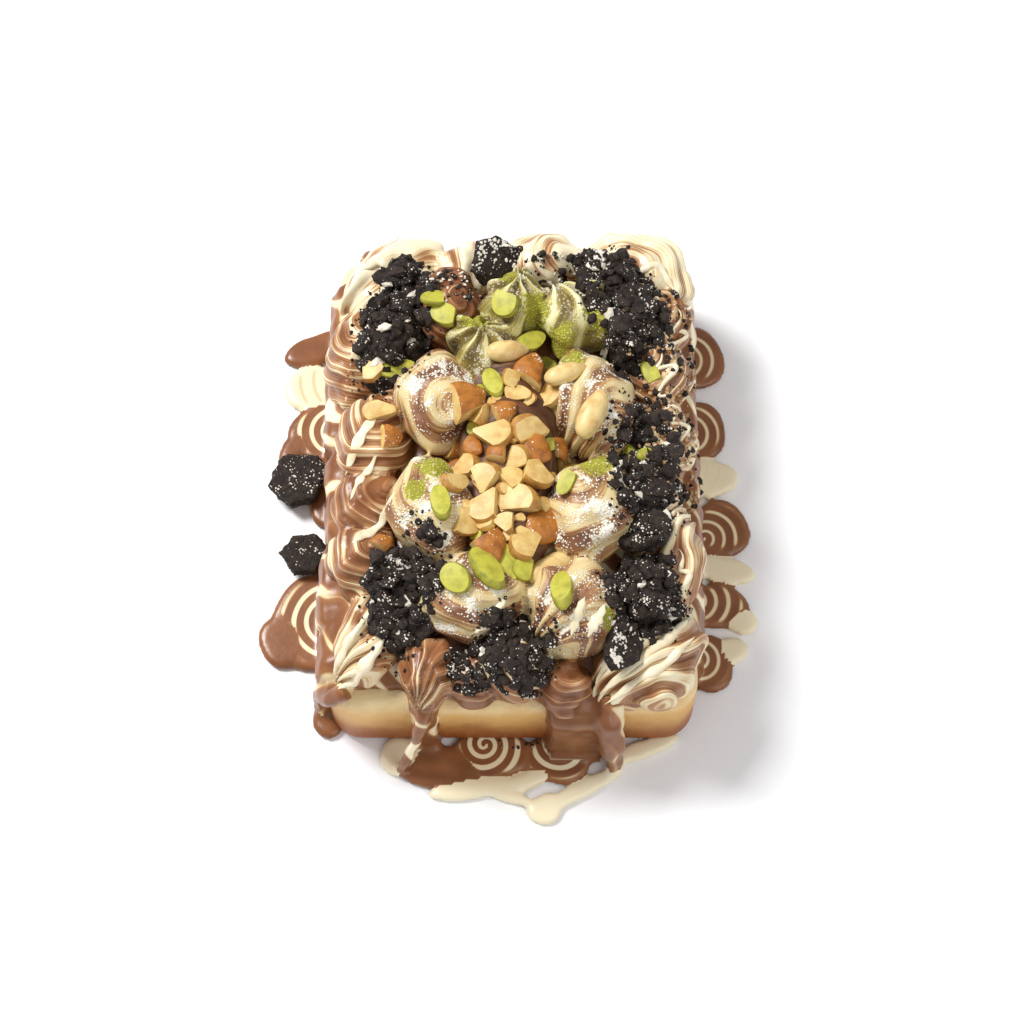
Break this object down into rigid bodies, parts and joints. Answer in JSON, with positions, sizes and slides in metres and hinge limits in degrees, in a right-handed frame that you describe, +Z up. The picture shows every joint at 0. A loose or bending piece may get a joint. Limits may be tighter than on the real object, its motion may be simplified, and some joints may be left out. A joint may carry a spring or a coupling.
{
  "type": "waffle",
  "caption": "Rectangular dessert waffle under marbled chocolate cream, with sugared cream, broken black biscuit, crumbs and mixed nuts, in a puddle of sauce.",
  "frame": {"origin": "middle of the whole outline, on the surface that the waffle lies on", "axes": "+Z up, +Y along the waffle's length to the end that is at the back in the picture, +X to the right in the picture"},
  "size_m": [0.1704, 0.213, 0.0696],
  "materials": {
    "waffle": "soft baked golden crumb",
    "marbled_chocolate": "glossy milk and white chocolate, marbled",
    "sugared_chocolate": "white chocolate cream dusted with icing sugar",
    "pistachio_cream": "cream dusted with green nut powder",
    "biscuit": "dry black cocoa biscuit",
    "nuts": "blanched and skinned almonds and pistachios"
  },
  "bodies": {
    "root": {"biscuit_back": "biscuit", "biscuit_back_left": "biscuit", "biscuit_back_right": "biscuit", "biscuit_front_right": "biscuit", "biscuit_left_1": "biscuit", "biscuit_left_2": "biscuit", "biscuit_puddle_back": "biscuit", "biscuit_puddle_front": "biscuit", "biscuit_right_1": "biscuit", "biscuit_right_2": "biscuit", "biscuit_right_3": "biscuit", "biscuit_right_4": "biscuit", "crumb_heap_back_left": "biscuit", "crumb_heap_back_right": "biscuit", "crumb_heap_front_left": "biscuit", "crumb_heap_front_right": "biscuit", "crumb_heap_mid_right": "biscuit", "marbled_cream_back": "marbled_chocolate", "marbled_cream_front": "marbled_chocolate", "marbled_cream_left": "marbled_chocolate", "marbled_cream_right": "marbled_chocolate", "marbled_sauce": "marbled_chocolate", "nut_heap": "nuts", "pistachio_cream": "pistachio_cream", "sugared_cream": "sugared_chocolate", "waffle": "waffle"}
  },
  "joints": []
}
